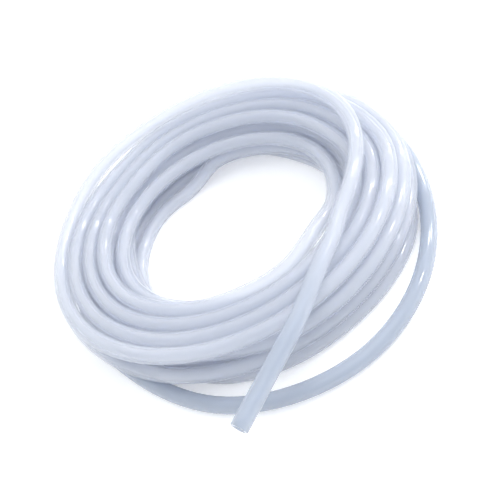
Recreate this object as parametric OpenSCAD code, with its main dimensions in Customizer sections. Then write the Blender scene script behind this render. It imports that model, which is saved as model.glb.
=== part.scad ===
// A coil of soft silicone tubing lying flat, all in millimetres.
// One hollow tube, one piece: it starts at a cut end behind the ring, makes one loose turn on
// the table, is wound layer by layer into a ring, and leaves over the top in a free cut end.
// Seen from above it runs clockwise. z = 0 is the table and the ring's axis is upright.

/* [Tube] */
// Outer diameter of the tube
tube_od = 8; // [7.5:0.25:8]
// Thickness of the tube's wall
wall = 1.5; // [1.25:0.25:2]
// Straight stretch behind each cut end, where a barb goes in
end_length = 28; // [20:1:34]

/* [Ring] */
// Radius of the ring at the middle of its turns
ring_radius = 74.5; // [72:0.5:80]
// Oval shape: what the ring gains one way and loses the other way
ring_oval = 1.8; // [0:0.2:3]
// Smallest gap between neighbouring turns
turn_gap = 0.5; // [0.5:0.05:0.6]
// Further gap between turns at the slackest side of the ring
slack_gap = 0.9; // [0.4:0.1:1.1]
// How far each layer lies further to the front left than the one below
lean_step = 1.6; // [1:0.1:1.8]
// How far the turns on the table swing out at the front right
table_swing = 8.5; // [6:0.5:8.5]
// How far the top layer spreads outwards at the back
top_spread = 4.25; // [3:0.25:5]

/* [Hidden] */
// Turns in each layer, from the table up
layer_turns = [4, 5, 5, 4];
layers = len(layer_turns);
// How far the middle of each layer lies outside the ring's middle
layer_out = [-4.25, 0, 0, 1.2];
// Directions of the oval's long way, of the slackest side and of the lean, in degrees
oval_angle = -30;
slack_angle = 75;
lean_angle = -150;

// A turn is counted from this angle on
start_angle = 20;
stations_per_turn = 18;
sides = 8;

pitch = tube_od + turn_gap;
tube_id = tube_od - 2 * wall;
mid_radius = (tube_od - wall) / 2;
// An eight-sided section with the same area as the round one
same_area = sqrt(2 * PI / (sides * sin(360 / sides)));
outer_corner = tube_od / 2 * same_area;
bore_corner = tube_id / 2 * same_area;
floor_z = outer_corner * cos(180 / sides);

// Where the loose turn has joined the ring, and where the last turn climbs on top
join_angle = -149;
climb_angle = 150;
leave_angle = -42;

// Loose turn from the tail: angle and distance outside the ring's middle, chosen by hand
loose_turn = [
    [-160, 17.3], [-149, 19], [-140, 22], [-132, 25], [-125, 28], [-116, 31.5],
    [-106, 35], [-97, 36.5], [-88, 37.5], [-79, 38.5], [-72, 37.5], [-64, 34.5],
    [-57, 31.5], [-50, 28.5], [-45, 26.5], [-38, 23.6], [-30, 20.9], [-22, 18.9],
    [-14, 18], [0, 18], [15, 18.6], [30, 21.5], [45, 25.3], [60, 28.2], [75, 29.2], [90, 29.5]
];
tail_angle = 74;

// Last turn over the top of the ring: angle and distance outside the ring's middle, by hand
top_turn = [
    [-60, -3.5], [-42, -3], [-26, -2], [0, 1], [20, 3], [40, 5], [54, 6], [73, 6.5],
    [95, 7], [115, 9.4], [128, 12.8], [140, 16.4], [150, 17.6], [165, 18]
];
// Height gained while the last turn climbs, as a share of one layer
top_climb = [[-60, 1], [122, 1], [148, 0], [165, 0]];

// Free end: angle, distance outside the ring's middle and drop below the top, by hand
free_end = [
    [-57, -0.5, 0], [-65, 4, -0.4], [-75.5, 10.5, -0.5], [-84.5, 20, -0.2],
    [-92.5, 31, 0.8], [-99.5, 41.8, 2.4]
];

// Ring's middle line and the spacing of its turns at an angle
function ring(a) = ring_radius + ring_oval * cos(2 * (a - oval_angle));
function spacing(a) = pitch + slack_gap * (1 + cos(a - slack_angle)) / 2;
function place(a, out, z) = [(ring(a) + out) * cos(a), (ring(a) + out) * sin(a), z];
function smooth(x) = let(c = min(max(x, 0), 1)) c * c * (3 - 2 * c);
function wrapped(a) = (a % 360 + 540) % 360 - 180;
// Soft reading of a hand-made list, so that it has no kinks
soft_reach = 9;
function soft(a, list) =
    (lookup(a - soft_reach, list) + 2 * lookup(a, list) + lookup(a + soft_reach, list)) / 4;

// Slots: layer and place in the layer of turn k, with turn -1 lying outside the bottom layer
function turns_below(layer) = layer == 0 ? 0 : turns_below(layer - 1) + layer_turns[layer - 1];
turn_count = turns_below(layers);
function layer_of(k, layer = 0) =
    layer == layers - 1 || k < turns_below(layer + 1) ? layer : layer_of(k, layer + 1);
function half_width(layer) = (layer_turns[layer] - 1) / 2;
function direction(layer) = layer % 2 == 0 ? -1 : 1;
function slot_out(k) =
    k < 0 ? half_width(0) + 1
    : let(layer = layer_of(k)) direction(layer) * (k - turns_below(layer) - half_width(layer));

// Each layer shifts by one slot at its own part of the turn, and a climb to the next layer has
// its part in between, in the order that keeps every two turns a diameter apart
windows = 2 * layers - 1;
window_margin = 0.05;
function window_at(f, n) = (f * windows - n) * (1 + 2 * window_margin) - window_margin;
function shift_part(layer) = 2 * (layers - 1 - layer);
function climb_part(layer) = 2 * (layers - 1 - layer) - 1;

// A climb goes out before it goes up, or the reverse where it goes inwards; each move takes
// this share of the climb's part
out_share = 0.6;
up_share = 0.7;

// Section of the ring after u turns: distance outside the middle in slots, and layer
function shifted(u, layer) =
    let(k = floor(u), here = slot_out(k), next = slot_out(min(k + 1, turn_count - 1)))
    here + (next - here) * smooth(window_at(u - k, shift_part(layer)));
function climbed(here, next, layer, q) =
    let(widens = abs(next) > abs(here) + 0.1, narrows = abs(next) < abs(here) - 0.1,
        out_q = widens ? q / out_share : narrows ? (q - 1 + out_share) / out_share : q,
        up_q = widens ? (q - 1 + up_share) / up_share : narrows ? q / up_share : q)
    [here + (next - here) * smooth(out_q), layer + smooth(up_q)];
function slot_after(u) =
    let(k = floor(u), layer = layer_of(max(k, 0)), above = layer_of(min(k + 1, turn_count - 1)),
        q = window_at(u - k, climb_part(layer)))
    above > layer ? climbed(slot_out(k), slot_out(k + 1), layer, q) : [shifted(u, layer), layer];

// The turns on the table swing out between two angles, over so many degrees at each end
swing_start = -15;
swing_rise = 35;
swing_end = -150;
swing_fall = 45;
function swing_at(a) =
    table_swing * smooth((swing_start - wrapped(a)) / swing_rise)
    * smooth((wrapped(a) - swing_end) / swing_fall);

// The top layer spreads outwards at the back, where the last turn has climbed on top of it
spread_start = 125;
spread_rise = 35;
spread_end = -25;
spread_fall = 50;
function spread_at(a) =
    top_spread * smooth((spread_start - wrapped(a)) / spread_rise)
    * smooth((wrapped(a) - spread_end) / spread_fall);

// What a layer lies outside the ring's middle at an angle, for heights between layers too
function lean_at(level, a) =
    lookup(level, [for (i = [0 : layers - 1]) [i, layer_out[i]]])
    + lean_step * level * cos(a - lean_angle)
    + max(1 - level, 0) * swing_at(a) + max(level - layers + 2, 0) * spread_at(a);

function angle_after(u) = start_angle - 360 * u;
function turns_to(turn, angle) = turn + (start_angle - angle) / 360;
tail_u = turns_to(-1, tail_angle);
join_u = turns_to(-1, join_angle);
climb_u = turns_to(turn_count - 2, climb_angle - 360);
leave_u = turns_to(turn_count - 1, leave_angle);

function route_point(u) =
    let(a = angle_after(u), level = floor_z + layers * pitch)
    u < join_u ? place(a, soft(a - 360, loose_turn), floor_z)
    : u < climb_u
        ? let(s = slot_after(u))
          place(a, s[0] * spacing(a) + lean_at(s[1], a), floor_z + s[1] * pitch)
        : let(b = a + 360 * (turn_count - 1))
          place(a, soft(b, top_turn), level - pitch + pitch * soft(b, top_climb));

wound = [for (i = [round(tail_u * stations_per_turn) : round(leave_u * stations_per_turn)])
    route_point(i / stations_per_turn)];
free = [for (p = free_end) place(p[0], p[1], floor_z + layers * pitch - p[2])];
route = concat(wound, free);

function unit(v) = v / norm(v);
count = len(route);
tail_point = route[0] + [0, 0, tube_od / 2 - floor_z];
tail_way = unit([route[0][0] - route[1][0], route[0][1] - route[1][1], 0]);
free_way = unit(route[count - 1] - route[count - 2]);

// Rings of corner points round the route; at each end a slim stub runs on inside the wall of
// the exact straight stretch, which starts a little past the last full ring
end_gap = 1;
stub_outer = mid_radius + 0.3 * wall;
stub_bore = mid_radius - 0.1 * wall;
stub_gap = 0.9 * end_gap;
stub_depth = 4;
tail_stub = [for (t = [stub_depth, stub_gap]) [tail_point + tail_way * t, stub_outer, stub_bore]];
free_stub = [for (t = [stub_gap, stub_depth])
    [route[count - 1] + free_way * t, stub_outer, stub_bore]];
plain = [for (i = [0 : count - 1])
    [i == 0 ? tail_point : route[i], outer_corner, bore_corner]];
stations = concat(tail_stub, plain, free_stub);
last = len(stations) - 1;

function heading(i) = unit(stations[min(i + 1, last)][0] - stations[max(i - 1, 0)][0]);
function corner_ring(i, r) =
    let(t = heading(i), side = unit(cross([0, 0, 1], t)), up = cross(t, side))
    [for (s = [0 : sides - 1])
        let(a = (s + 0.5) * 360 / sides) stations[i][0] + r * (cos(a) * side + sin(a) * up)];

points = [for (i = [0 : last]) each concat(
    corner_ring(i, stations[i][1]), corner_ring(i, stations[i][2]))];

// The box of the whole tube, which the origin is centred on
end_reach = end_gap + end_length;
ends = [tail_point + tail_way * end_reach, route[count - 1] + free_way * end_reach];
function reach(way, k) = tube_od / 2 * sqrt(1 - way[k] * way[k]);
low = [for (k = [0, 1]) min(concat([for (p = points) p[k]],
    [ends[0][k] - reach(tail_way, k), ends[1][k] - reach(free_way, k)]))];
high = [for (k = [0, 1]) max(concat([for (p = points) p[k]],
    [ends[0][k] + reach(tail_way, k), ends[1][k] + reach(free_way, k)]))];
centre = [(low[0] + high[0]) / 2, (low[1] + high[1]) / 2, 0];

function outer_id(i, s) = i * 2 * sides + s % sides;
function bore_id(i, s) = outer_id(i, s) + sides;
faces = concat(
    [for (i = [0 : last - 1], s = [0 : sides - 1])
        [outer_id(i, s), outer_id(i + 1, s), outer_id(i + 1, s + 1), outer_id(i, s + 1)]],
    [for (i = [0 : last - 1], s = [0 : sides - 1])
        [bore_id(i, s), bore_id(i, s + 1), bore_id(i + 1, s + 1), bore_id(i + 1, s)]],
    [for (s = [0 : sides - 1])
        [outer_id(0, s), outer_id(0, s + 1), bore_id(0, s + 1), bore_id(0, s)]],
    [for (s = [0 : sides - 1])
        [outer_id(last, s), bore_id(last, s), bore_id(last, s + 1), outer_id(last, s + 1)]]
);

// Exact straight stretch with a true round bore, from a point along a direction
module cut_end(point, way) {
    translate(point + end_gap * way)
        rotate([0, acos(way[2]), atan2(way[1], way[0])])
            difference() {
                cylinder(h = end_length, d = tube_od, $fn = 48);
                translate([0, 0, -1]) cylinder(h = end_length + 2, d = tube_id, $fn = 48);
            }
}

module tubing() {
    color([0.80, 0.84, 0.90])
        translate(-centre) {
            polyhedron(points = points, faces = faces, convexity = 20);
            cut_end(tail_point, tail_way);
            cut_end(route[count - 1], free_way);
        }
}

tubing();
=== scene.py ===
# %% [markdown]
# A coil of soft silicone tubing, dressed for a studio picture.
#
# The real thing is one length of milky, glossy rubber tube, 8 mm thick with a 5 mm bore, wound
# in layers into a ring that lies on a table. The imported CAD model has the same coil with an
# eight-sided section. Here the round, smooth tube is laid along the same route, and it gets its
# look: pale translucent rubber under soft light. The scene is in metres, and a measure in
# millimetres is multiplied by MM.

import math

import bpy
import numpy as np
from mathutils import Matrix, Vector


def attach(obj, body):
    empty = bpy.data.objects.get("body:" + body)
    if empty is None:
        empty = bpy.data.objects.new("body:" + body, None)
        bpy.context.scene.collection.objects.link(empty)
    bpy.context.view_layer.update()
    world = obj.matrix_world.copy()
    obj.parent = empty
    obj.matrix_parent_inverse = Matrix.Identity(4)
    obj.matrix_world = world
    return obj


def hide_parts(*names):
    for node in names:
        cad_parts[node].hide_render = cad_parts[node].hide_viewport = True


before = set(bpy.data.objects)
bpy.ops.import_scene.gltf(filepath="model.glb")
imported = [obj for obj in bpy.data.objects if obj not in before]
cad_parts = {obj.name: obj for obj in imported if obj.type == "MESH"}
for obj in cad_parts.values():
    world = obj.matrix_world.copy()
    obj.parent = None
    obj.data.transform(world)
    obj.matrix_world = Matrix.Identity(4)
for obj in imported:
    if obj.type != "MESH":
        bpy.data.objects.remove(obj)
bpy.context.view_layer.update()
scene = bpy.context.scene
MM = 0.001

# %% [markdown]
# The camera comes first. The photograph looks down on the ring from 41 degrees, close enough
# for the near side to look larger, and the camera is rolled, so the table seems to tip to the
# left. The place of the camera is worked out from those two angles and its distance, and the
# small lens shift puts the coil where it sits in the picture.

# %% Camera
IMAGE_SIDE = 490
ELEVATION = math.radians(41)
ROLL = math.radians(33)
DISTANCE = 480 * MM
FOCAL_PIXELS = 931.2
SENSOR = 36.0
TARGET_PIXEL = (232.5, 219.5)
TARGET_HEIGHT = 15

RING_MIDDLE = Vector((1.165, 8.151, 0)) * MM
target = RING_MIDDLE + Vector((0, 0, TARGET_HEIGHT)) * MM
sideways = Vector((1, 0, 0))
upward = Vector((0, math.sin(ELEVATION), math.cos(ELEVATION)))
forward = Vector((0, math.cos(ELEVATION), -math.sin(ELEVATION)))
camera_x = sideways * math.cos(ROLL) - upward * math.sin(ROLL)
camera_y = sideways * math.sin(ROLL) + upward * math.cos(ROLL)
facing = Matrix((camera_x, camera_y, -forward)).transposed()

camera_data = bpy.data.cameras.new("camera")
camera_data.sensor_width = SENSOR
camera_data.lens = FOCAL_PIXELS / IMAGE_SIDE * SENSOR
camera_data.shift_x = 0.5 - TARGET_PIXEL[0] / IMAGE_SIDE
camera_data.shift_y = TARGET_PIXEL[1] / IMAGE_SIDE - 0.5
camera = bpy.data.objects.new("camera", camera_data)
camera.matrix_world = Matrix.Translation(target - forward * DISTANCE) @ facing.to_4x4()
scene.collection.objects.link(camera)
scene.camera = camera
print("lens", round(camera_data.lens, 1), "mm")

# %% [markdown]
# The route of the tube is the heart of the piece. A winder lays turn beside turn, and at the
# edge of a layer the tube climbs and goes back over the layer below. So a point of the route is
# found from one number: how many turns have been wound. The whole part gives the slot that the
# turn lies in, and the rest says how far it has shifted towards the next slot. The CAD model
# uses the same rule, so this cell repeats its measures, in millimetres and degrees. Only the
# two gaps between turns are a little narrower here, because the real turns touch. OD is the
# outer diameter of the tube and ID its bore.

# %% Measures of the tube and the ring
TUBE_OD = 8.0
TUBE_ID = 5.0
END_LENGTH = 28.0
RING_RADIUS = 74.5
RING_OVAL = 1.8
TURN_GAP = 0.3
SLACK_GAP = 0.6
LEAN_STEP = 1.6
TABLE_SWING = 8.5
TOP_SPREAD = 4.25
LAYER_TURNS = (4, 5, 5, 4)
LAYER_OUT = (-4.25, 0, 0, 1.2)
OVAL_ANGLE = -30
SLACK_ANGLE = 75
LEAN_ANGLE = -150
START_ANGLE = 20
STATIONS_PER_TURN = 18

PITCH = TUBE_OD + TURN_GAP
FLOOR_Z = TUBE_OD / 2
LAYERS = len(LAYER_TURNS)
TURN_COUNT = sum(LAYER_TURNS)
FIRST_TURN = [sum(LAYER_TURNS[:layer]) for layer in range(LAYERS + 1)]
print("turns", TURN_COUNT, "pitch", PITCH, "mm")

# %% [markdown]
# Three stretches don't follow the winding rule: the loose turn on the table, the last turn over
# the top and the free end. Their points are listed one by one. Each has an angle and a distance
# outside the ring's middle line, and the free end's points also have a drop below the top. The
# list of the top climb says at each angle how much of the climb on top is done.

# %% Listed stretches
JOIN_ANGLE, CLIMB_ANGLE, LEAVE_ANGLE, TAIL_ANGLE = -149, 150, -42, 74
LOOSE_TURN = [
    (-160, 16.1), (-149, 17.9), (-140, 21.2), (-132, 24.6), (-125, 27.9), (-116, 31.5),
    (-106, 35), (-97, 36.5), (-88, 37.5), (-79, 38.5), (-72, 37.5), (-64, 34.5),
    (-57, 31.5), (-50, 28.5), (-45, 26.5), (-38, 23.6), (-30, 20.9), (-22, 18.9),
    (-14, 18), (0, 18), (15, 18.6), (30, 21.5), (45, 25.3), (60, 28.2), (75, 29.2), (90, 29.5),
]
TOP_TURN = [
    (-60, -3.5), (-42, -3), (-26, -2), (0, 1), (20, 3), (40, 5), (54, 6), (73, 6.5),
    (95, 7), (115, 9.2), (128, 12.3), (140, 15.6), (150, 16.6), (165, 17),
]
TOP_CLIMB = [(-60, 1), (122, 1), (148, 0), (165, 0)]
FREE_END = [
    (-57, -0.5, 0), (-65, 4, -0.4), (-75.5, 10.5, -0.5), (-84.5, 20, -0.2),
    (-92.5, 31, 0.8), (-99.5, 41.8, 2.4),
]
SOFT_REACH = 9


def soft(angle, hand_list):
    """Reading of a given list at an angle: a quarter of the readings on both sides plus half of
    the one at the angle, so that the list has no kinks."""
    angles = [point[0] for point in sorted(hand_list)]
    values = [point[1] for point in sorted(hand_list)]
    near = np.interp([angle - SOFT_REACH, angle, angle, angle + SOFT_REACH], angles, values)
    return float(near.mean())


# %% [markdown]
# The ring isn't a plain round. It is a little oval, its slots are wider where the winding is
# slack, and its layers don't lie straight above each other. Angles are counted anticlockwise
# from the right, seen from above.

# %% Form of the ring
SWING_SPANS = ((-15, -50), (-150, -105))
SPREAD_SPANS = ((125, 90), (-25, 25))


def cosd(angle):
    """Cosine of an angle in degrees."""
    return math.cos(math.radians(angle))


def ring(angle):
    """Radius of the ring's middle line: the mean radius plus a wave that goes round twice."""
    return RING_RADIUS + RING_OVAL * cosd(2 * (angle - OVAL_ANGLE))


def spacing(angle):
    """Width of one slot: the pitch plus a raised cosine that is highest on the slack side."""
    return PITCH + SLACK_GAP * (1 + cosd(angle - SLACK_ANGLE)) / 2


def smooth(part):
    """A soft step from 0 to 1: p squared times (3 - 2 p), with p the part held in 0 to 1."""
    p = min(max(part, 0), 1)
    return p * p * (3 - 2 * p)


def share(value, span):
    """Share of a span that lies behind a value: (value - start) / (end - start)."""
    start, end = span
    return (value - start) / (end - start)


def hill(angle, spans):
    """A hill over a stretch of the ring. Each span runs from a foot of the hill to its top."""
    return smooth(share(angle, spans[0])) * smooth(share(angle, spans[1]))


def lean(level, angle):
    """How far a layer lies outside the ring's middle: its own offset and the ring's lean to
    the front left, on the table also the swing that stands out at the front right, and on top
    the spread at the back, where the last turn has climbed off the layer."""
    wrapped = (angle + 180) % 360 - 180
    swing = TABLE_SWING * hill(wrapped, SWING_SPANS)
    spread = TOP_SPREAD * hill(wrapped, SPREAD_SPANS)
    offset = np.interp(level, range(LAYERS), LAYER_OUT)
    leaning = LEAN_STEP * level * cosd(angle - LEAN_ANGLE)
    return offset + leaning + max(1 - level, 0) * swing + max(level - LAYERS + 2, 0) * spread


def place(angle, out, height):
    """Point at an angle, a distance outside the ring's middle line and a height."""
    radius = ring(angle) + out
    return (radius * cosd(angle), radius * math.sin(math.radians(angle)), height)


print("ring from", round(ring(OVAL_ANGLE + 90), 1), "to", round(ring(OVAL_ANGLE), 1), "mm")

# %% [markdown]
# A turn has to shift over the turns below it without cutting into them. So each turn is
# divided into equal windows: every layer has one for its shifts, and between them are those
# for the climbs. A climb to a slot further from the layer's middle moves aside before it is up,
# and a climb to a slot nearer to the middle is up before it moves aside.

# %% The winding rule
WINDOWS = 2 * LAYERS - 1
REST = 0.05
SAME_SLOT = 0.1
TOGETHER = ((0, 1), (0, 1))
OUT_THEN_UP = ((0, 0.6), (0.3, 1))
UP_THEN_IN = ((0.4, 1), (0, 0.7))


def layer_of(turn):
    """Layer of a turn, from 0 on the table up."""
    return sum(turn >= first for first in FIRST_TURN[1:LAYERS])


def slot_out(turn):
    """Slot of a turn, counted outwards from the layer's middle; turn -1 is outside layer 0."""
    if turn < 0:
        return (LAYER_TURNS[0] + 1) / 2
    layer = layer_of(turn)
    way = -1 if layer % 2 == 0 else 1
    return way * (turn - FIRST_TURN[layer] - (LAYER_TURNS[layer] - 1) / 2)


def window(part, number):
    """Progress through a numbered window at a part of the turn, with a rest at both ends:
    (part times windows - number) (1 + 2 rest) - rest."""
    return (part * WINDOWS - number) * (1 + 2 * REST) - REST


def slot_after(wound):
    """Slot and layer after a number of turns. A turn shifts in its layer's own window, and a
    climb to the next layer has the window before."""
    turn = math.floor(wound)
    layer = layer_of(turn)
    following = min(turn + 1, TURN_COUNT - 1)
    here, there = slot_out(turn), slot_out(following)
    own_window = 2 * (LAYERS - 1 - layer)
    if layer_of(following) == layer:
        shifted = smooth(window(wound - turn, own_window))
        return here + (there - here) * shifted, layer
    across_span, up_span = TOGETHER
    if abs(there) > abs(here) + SAME_SLOT:
        across_span, up_span = OUT_THEN_UP
    elif abs(there) < abs(here) - SAME_SLOT:
        across_span, up_span = UP_THEN_IN
    progress = window(wound - turn, own_window - 1)
    shifted = smooth(share(progress, across_span))
    return here + (there - here) * shifted, layer + smooth(share(progress, up_span))


print("first slot", slot_out(0), "last slot", slot_out(TURN_COUNT - 1))

# %% [markdown]
# With the rule in place, the route is read off at 18 stations a turn, from the tail on the
# table to the cut end in front, and a straight stretch closes each end, where a barb goes in.

# %% Stations of the route
END_STATIONS = (10, 19.5, END_LENGTH + 1)


def turns_to(turn, angle):
    """Number of turns wound when the given turn passes an angle."""
    return turn + (START_ANGLE - angle) / 360


JOINS_AT = turns_to(-1, JOIN_ANGLE)
CLIMBS_AT = turns_to(TURN_COUNT - 2, CLIMB_ANGLE - 360)
TOP_Z = FLOOR_Z + LAYERS * PITCH


def route_point(wound):
    """Point of the route after a number of turns, clockwise seen from above."""
    angle = START_ANGLE - 360 * wound
    if wound < JOINS_AT:
        return place(angle, soft(angle - 360, LOOSE_TURN), FLOOR_Z)
    if wound < CLIMBS_AT:
        slot, level = slot_after(wound)
        out = slot * spacing(angle) + lean(level, angle)
        return place(angle, out, FLOOR_Z + level * PITCH)
    top_angle = angle + 360 * (TURN_COUNT - 1)
    height = TOP_Z - PITCH + PITCH * soft(top_angle, TOP_CLIMB)
    return place(angle, soft(top_angle, TOP_TURN), height)


first = round(turns_to(-1, TAIL_ANGLE) * STATIONS_PER_TURN)
last = round(turns_to(TURN_COUNT - 1, LEAVE_ANGLE) * STATIONS_PER_TURN)
stations = [route_point(i / STATIONS_PER_TURN) for i in range(first, last + 1)]
stations += [place(angle, out, TOP_Z - drop) for angle, out, drop in FREE_END]
stations = np.array(stations)
tail_way = (stations[0] - stations[1]) * (1, 1, 0)
tail_way /= np.linalg.norm(tail_way)
free_way = stations[-1] - stations[-2]
free_way /= np.linalg.norm(free_way)
reach = np.array(END_STATIONS)[:, None]
stations = np.vstack([
    (stations[0] + reach * tail_way)[::-1], stations, stations[-1] + reach * free_way
])
stations = stations * MM + np.array(RING_MIDDLE)
print("stations", len(stations))


# %% [markdown]
# A smooth curve through the stations turns the steps into the even bend of a real tube. A
# natural cubic spline does it: between two stations each coordinate is a cubic, and the
# curvature runs on without a jump. It is then cut into equal short steps, and kept from
# dipping into the table where the curve swings a little.

# %% Smooth line of the tube
STEP = 6.0 * MM


def spline(points, step):
    """Natural cubic spline over chord length, sampled at equal steps. The second derivatives,
    here bend, solve chord0 bend0 + 2 (chord0 + chord1) bend1 + chord1 bend2 =
    6 (slope1 - slope0) at each inner point."""
    chord = np.linalg.norm(np.diff(points, axis=0), axis=1)
    at = np.concatenate([[0], np.cumsum(chord)])
    slope = np.diff(points, axis=0) / chord[:, None]
    count = len(points)
    inner = np.arange(1, count - 1)
    matrix = np.eye(count)
    matrix[inner, inner - 1] = chord[:-1]
    matrix[inner, inner] = 2 * (chord[:-1] + chord[1:])
    matrix[inner, inner + 1] = chord[1:]
    right = np.zeros_like(points)
    right[1:-1] = 6 * np.diff(slope, axis=0)
    bend = np.linalg.solve(matrix, right)
    sample = np.linspace(0, at[-1], round(at[-1] / step) + 1)
    part = np.clip(np.searchsorted(at, sample, side="right") - 1, 0, count - 2)
    ahead = (at[part + 1] - sample)[:, None]
    behind = (sample - at[part])[:, None]
    width = chord[part][:, None]
    return (
        (bend[part] * ahead**3 + bend[part + 1] * behind**3) / (6 * width)
        + (points[part] / width - bend[part] * width / 6) * ahead
        + (points[part + 1] / width - bend[part + 1] * width / 6) * behind
    )


line = spline(stations, STEP)
line[:, 2] = np.maximum(line[:, 2], FLOOR_Z * MM)
steps = np.linalg.norm(np.diff(line, axis=0), axis=1)
distance = np.concatenate([[0], np.cumsum(steps)])
length = float(steps.sum())
print("rings", len(line), "length", round(length, 3), "m")

# %% [markdown]
# The tube is one closed skin. Walk along the outside from the tail to the free end, turn in
# over the cut face, and walk back along the bore: that walk is a closed loop of rings, and each
# ring is a circle. So the whole skin is one grid that closes in both directions.

# %% Rings of the skin
SIDES = 30
EDGE = 0.25 * MM


def frames(points):
    """Direction along the line, and two directions square to it: side is level, and up is the
    direction crossed with side."""
    way = np.gradient(points, axis=0)
    way /= np.linalg.norm(way, axis=1)[:, None]
    side = np.cross((0, 0, 1), way)
    side /= np.linalg.norm(side, axis=1)[:, None]
    return way, side, np.cross(way, side)


def skin_rings(points, outer, inner):
    """Grid of rings round a line: point plus r (side cos v + up sin v), first with the outer
    radius along the line, then with the inner radius back. The cut edges are eased. It also
    gives the number of the point that each ring belongs to."""
    way, side, up = frames(points)
    count = len(points)
    order = np.concatenate(
        [[0], np.arange(count), [count - 1, count - 1], np.arange(count)[::-1], [0]]
    )
    radius = np.concatenate([
        [outer - EDGE], np.full(count, outer), [outer - EDGE],
        [inner + EDGE], np.full(count, inner), [inner + EDGE],
    ])
    shift = np.zeros(len(order))
    shift[[1, -2]] = EDGE
    shift[[count, count + 3]] = -EDGE
    v = np.linspace(0, 2 * np.pi, SIDES, endpoint=False)
    middle = points[order] + way[order] * shift[:, None]
    around = (
        side[order][:, None] * np.cos(v)[None, :, None]
        + up[order][:, None] * np.sin(v)[None, :, None]
    )
    return middle[:, None] + radius[:, None, None] * around, order


grid, order = skin_rings(line, TUBE_OD / 2 * MM, TUBE_ID / 2 * MM)
print("rings round the walk", len(grid))

# %% [markdown]
# The grid becomes a mesh of four-sided faces. Its map tells the material where it is: u is the
# distance from the tail in metres and v the part of the way round.

# %% Mesh of the tube
def closed_skin(name, grid, u_of):
    """Mesh of a grid that closes in both directions, with the given u for each row. A face
    joins row i, column j with the next row and the next column."""
    rows, columns = grid.shape[:2]
    i = np.arange(rows)[:, None]
    j = np.arange(columns)[None, :]
    near, far = i * columns, (i + 1) % rows * columns
    after = (j + 1) % columns
    faces = np.stack([near + j, near + after, far + after, far + j], axis=-1)
    mesh = bpy.data.meshes.new(name)
    mesh.from_pydata(grid.reshape(-1, 3), [], faces.reshape(-1, 4).tolist())
    u_near, u_far = u_of[i], u_of[(i + 1) % rows]
    corner_u = np.stack([u_near, u_near, u_far, u_far], -1)
    corner_v = np.stack([j, j + 1, j + 1, j], -1) / columns
    uv = np.stack(np.broadcast_arrays(corner_u, corner_v), -1)
    mesh.uv_layers.new(name="along").data.foreach_set("uv", uv.astype(np.float32).ravel())
    mesh.polygons.foreach_set("use_smooth", np.ones(len(mesh.polygons), bool))
    mesh.update()
    piece = bpy.data.objects.new(name, mesh)
    scene.collection.objects.link(piece)
    return piece


tube = closed_skin("silicone_tube", grid, distance[order])
print("triangles", 2 * len(tube.data.polygons))

# %% [markdown]
# It rides the only body, it takes the place of the CAD solid, and it is a cord of known length
# that lies coiled, with two bare ends.

# %% The tube stands for the CAD solid
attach(tube, "root")
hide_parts("tubing")
print("cord", round(length / (TUBE_OD * MM)), "diameters long")


# %% [markdown]
# Shader maths reads best as plain expressions. This small class wraps a socket, so that
# `0.05 + cloudy * 0.08` adds the Math nodes by itself.

# %% Shader maths
class Value:
    """A number socket whose operators add Math nodes."""

    def __init__(self, tree, socket):
        self.tree = tree
        self.socket = socket

    def _math(self, operation, other):
        node = self.tree.nodes.new("ShaderNodeMath")
        node.operation = operation
        self.tree.links.new(self.socket, node.inputs[0])
        if isinstance(other, Value):
            self.tree.links.new(other.socket, node.inputs[1])
        else:
            node.inputs[1].default_value = other
        return Value(self.tree, node.outputs[0])

    def __add__(self, other):
        return self._math("ADD", other)

    __radd__ = __add__

    def __mul__(self, other):
        return self._math("MULTIPLY", other)

    __rmul__ = __mul__


# %% [markdown]
# All other nodes come from one method. It takes the kind of node, its settings and what goes
# into its sockets, whose names are written with _ for a space.

# %% Shader nodes
MIX_COLOURS = (6, 7)
MIX_RESULT = 2


class Shader:
    """A new material, with one method for every kind of node."""

    def __init__(self, name):
        self.material = bpy.data.materials.new(name)
        self.material.use_nodes = True
        self.tree = self.material.node_tree
        self.tree.nodes.clear()

    def node(self, kind, settings=None, **inputs):
        """A new node, with its settings made first and its inputs fed after that."""
        made = self.tree.nodes.new(kind)
        for key, value in (settings or {}).items():
            setattr(made, key, value)
        for key, given in inputs.items():
            self.feed(made.inputs[key.replace("_", " ")], given)
        return made

    def feed(self, socket, given):
        """Link a value or a socket to an input, or set the input to a plain number or colour."""
        given = given.socket if isinstance(given, Value) else given
        if isinstance(given, bpy.types.NodeSocket):
            self.tree.links.new(given, socket)
        else:
            socket.default_value = given

    def value(self, socket):
        """A number socket, wrapped for maths."""
        return Value(self.tree, socket)

    def blend(self, factor, first, second):
        """Colour that runs from the first to the second as the factor goes from 0 to 1."""
        mix = self.node("ShaderNodeMix", {"data_type": "RGBA"}, Factor=factor)
        for number, colour in zip(MIX_COLOURS, (first, second)):
            self.feed(mix.inputs[number], colour)
        return mix.outputs[MIX_RESULT]

    def surface(self, shader):
        """Make a shader node the surface of the material."""
        self.node("ShaderNodeOutputMaterial", Surface=shader.outputs[0])
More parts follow.
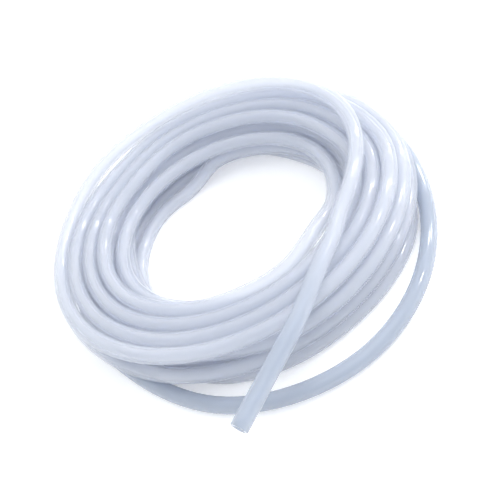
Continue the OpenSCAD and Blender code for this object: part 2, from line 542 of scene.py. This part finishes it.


# %% [markdown]
# Milky silicone is neither clear nor opaque: a part of the light goes straight through each
# wall, a part is bent as in glass, and the rest is scattered by the milk. So the skin is a mix
# of the three. In the bundle the light passes from turn to turn, which keeps the gaps between
# the turns pale. The loose turn and the free end have no lit turns behind them, and a painted
# shade stands in for that: a greyer colour and a denser wall. The low roughness gives the long
# thin glints. The milk is a little cloudier in places, and the die that the rubber was pressed
# through leaves faint lines along it, which follow the map along the tube.

# %% Silicone
# The loose turn and the free end, given in metres along the tube, get a painted shade.
LOOSE_FROM, LOOSE_TO = 0.45, 0.65
FREE_FROM, FREE_TO = length - 0.10, length - 0.04
THIN_MILK = (0.86, 0.895, 0.97, 1)
THICK_MILK = (0.895, 0.92, 0.98, 1)
# Painted shade: the greyer colour of the loose turn and the free end.
SINGLE_PAINTED_SHADE = (0.66, 0.72, 0.82, 1)
CLOUD_SCALE = 28.0
DIE_SCALE = (3.0, 14.0, 1.0)
NOISE_DETAIL = 2.0
DIE_STRENGTH, DIE_DEPTH = 0.06, 0.4 * MM
BASE_ROUGHNESS, CLOUD_ROUGHNESS = 0.05, 0.08
# The second density is the denser wall of the painted shade on the loose turn and the free end.
DENSITY, SINGLE_SHADE_DENSITY = 0.48, 0.26
BENT_SHARE = 0.4
RUBBER_IOR = 1.41
COAT_WEIGHT, COAT_ROUGHNESS = 0.5, 0.02


def silicone():
    """The rubber of the tube. In its map, u is the distance from the tail in metres, so the
    loose turn and the free end, which get the painted shade, are found by their place along
    the tube. The density is the share of the light that doesn't go straight through a wall."""
    rubber = Shader("milky_silicone")
    coordinates = rubber.node("ShaderNodeTexCoord").outputs
    clouds = rubber.node("ShaderNodeTexNoise", Vector=coordinates["Object"], Scale=CLOUD_SCALE,
                         Detail=NOISE_DETAIL)
    stretched = rubber.node("ShaderNodeMapping", Vector=coordinates["UV"], Scale=DIE_SCALE)
    die_lines = rubber.node("ShaderNodeTexNoise", Vector=stretched.outputs[0], Scale=1.0,
                            Detail=NOISE_DETAIL)
    cloudy = rubber.value(clouds.outputs[0])
    along = rubber.node("ShaderNodeSeparateXYZ", Vector=coordinates["UV"]).outputs[0]
    loose = rubber.node("ShaderNodeMapRange", Value=along, From_Min=LOOSE_FROM,
                        From_Max=LOOSE_TO, To_Min=1.0, To_Max=0.0)
    free = rubber.node("ShaderNodeMapRange", Value=along, From_Min=FREE_FROM, From_Max=FREE_TO)
    # Mask of the painted shade, 1 on the loose turn and the free end.
    single_shade = rubber.value(loose.outputs[0]) + rubber.value(free.outputs[0])
    milk = rubber.blend(cloudy, THIN_MILK, THICK_MILK)
    colour = rubber.blend(single_shade, milk, SINGLE_PAINTED_SHADE)
    bump = rubber.node("ShaderNodeBump", Height=die_lines.outputs[0], Strength=DIE_STRENGTH,
                       Distance=DIE_DEPTH)
    rubber.surface(rubber.node(
        "ShaderNodeBsdfPrincipled", Base_Color=colour, IOR=RUBBER_IOR,
        Roughness=BASE_ROUGHNESS + cloudy * CLOUD_ROUGHNESS, Normal=bump.outputs[0],
        Transmission_Weight=BENT_SHARE, Alpha=DENSITY + single_shade * SINGLE_SHADE_DENSITY,
        Coat_Weight=COAT_WEIGHT, Coat_Roughness=COAT_ROUGHNESS,
    ))
    return rubber.material


tube.data.materials.append(silicone())
print("nodes of the rubber", len(tube.active_material.node_tree.nodes))

# %% [markdown]
# The photograph has a plain white ground. The floor is a white sheet, and for rays that come
# from the camera or by a reflection it is lit up a little, so that it reads as white while the
# coil still has its soft shadow. Rays that the rubber has bent don't see that glow, and that
# makes the tube a shade darker, by 1 to 4 levels of 255.

# %% Floor
FLOOR_HALF = 3.0
FLOOR_CORNERS = [(-1, -1), (1, -1), (1, 1), (-1, 1)]
PAPER_WHITE = (0.92, 0.92, 0.92, 1)
PAPER_ROUGHNESS = 0.9
GLOW_WHITE = (1, 1, 1, 1)
GLOW = 0.35

floor_mesh = bpy.data.meshes.new("floor")
floor_mesh.from_pydata([(x * FLOOR_HALF, y * FLOOR_HALF, 0) for x, y in FLOOR_CORNERS], [],
                       [range(len(FLOOR_CORNERS))])
floor = bpy.data.objects.new("floor", floor_mesh)
scene.collection.objects.link(floor)
paper = Shader("white_ground")
rays = paper.node("ShaderNodeLightPath").outputs
seen = paper.value(rays["Is Camera Ray"]) + paper.value(rays["Is Glossy Ray"])
paper.surface(paper.node(
    "ShaderNodeBsdfPrincipled", Base_Color=PAPER_WHITE, Roughness=PAPER_ROUGHNESS,
    Specular_IOR_Level=0.0, Emission_Color=GLOW_WHITE, Emission_Strength=seen * GLOW,
))
floor_mesh.materials.append(paper.material)
print("floor", 2 * FLOOR_HALF, "m wide")

# %% [markdown]
# The light is that of a white tent: an even pale surround, one large soft lamp from above and
# four small ones on the right, whose reflections are the long white glints on the turns. A
# glint lies where the tube's direction is square to the line halfway between the camera and
# the lamp, so each lamp makes one at the right and one at the left of every turn.

# %% World and lamps
TENT_COLOUR = (0.93, 0.96, 1.0, 1)
TENT_LEVEL = 0.88
OVERHEAD_SPOT, OVERHEAD_SIZE, OVERHEAD_WATTS = (0.15, -0.25, 0.95), (0.7, 0.5), 1.4
GLINT_SPOTS = [(0.77, 0.44, 0.35), (0.83, 0.11, 0.45), (0.59, 0.27, 0.69), (0.69, -0.10, 0.65)]
GLINT_SIZE, GLINT_WATTS = (0.09, 0.05), 1.2

world = bpy.data.worlds.new("tent")
world.use_nodes = True
background = world.node_tree.nodes["Background"]
background.inputs["Color"].default_value = TENT_COLOUR
background.inputs["Strength"].default_value = TENT_LEVEL
scene.world = world


def lamp(name, spot, size, watts):
    """A rectangular lamp at a spot, aimed at the middle of the coil."""
    data = bpy.data.lights.new(name, "AREA")
    data.shape = "RECTANGLE"
    data.size, data.size_y = size
    data.energy = watts
    light = bpy.data.objects.new(name, data)
    light.location = spot
    light.rotation_euler = (target - Vector(spot)).to_track_quat("-Z", "Y").to_euler()
    scene.collection.objects.link(light)


lamp("overhead", OVERHEAD_SPOT, OVERHEAD_SIZE, OVERHEAD_WATTS)
for number, spot in enumerate(GLINT_SPOTS):
    lamp(f"glint_{number}", spot, GLINT_SIZE, GLINT_WATTS)
print("lamps", len(bpy.data.lights))

# %% [markdown]
# Light on its way through the bundle crosses dozens of walls, so it is followed for many more
# bounces than usual. With fewer the inner turns turn grey.

# %% Light paths
scene.cycles.max_bounces = 48
scene.cycles.transmission_bounces = 48
scene.cycles.diffuse_bounces = 24
scene.cycles.glossy_bounces = 12
scene.cycles.transparent_max_bounces = 96
print("bounces", scene.cycles.max_bounces)

# %% Plain view transform
scene.view_settings.view_transform = "Standard"
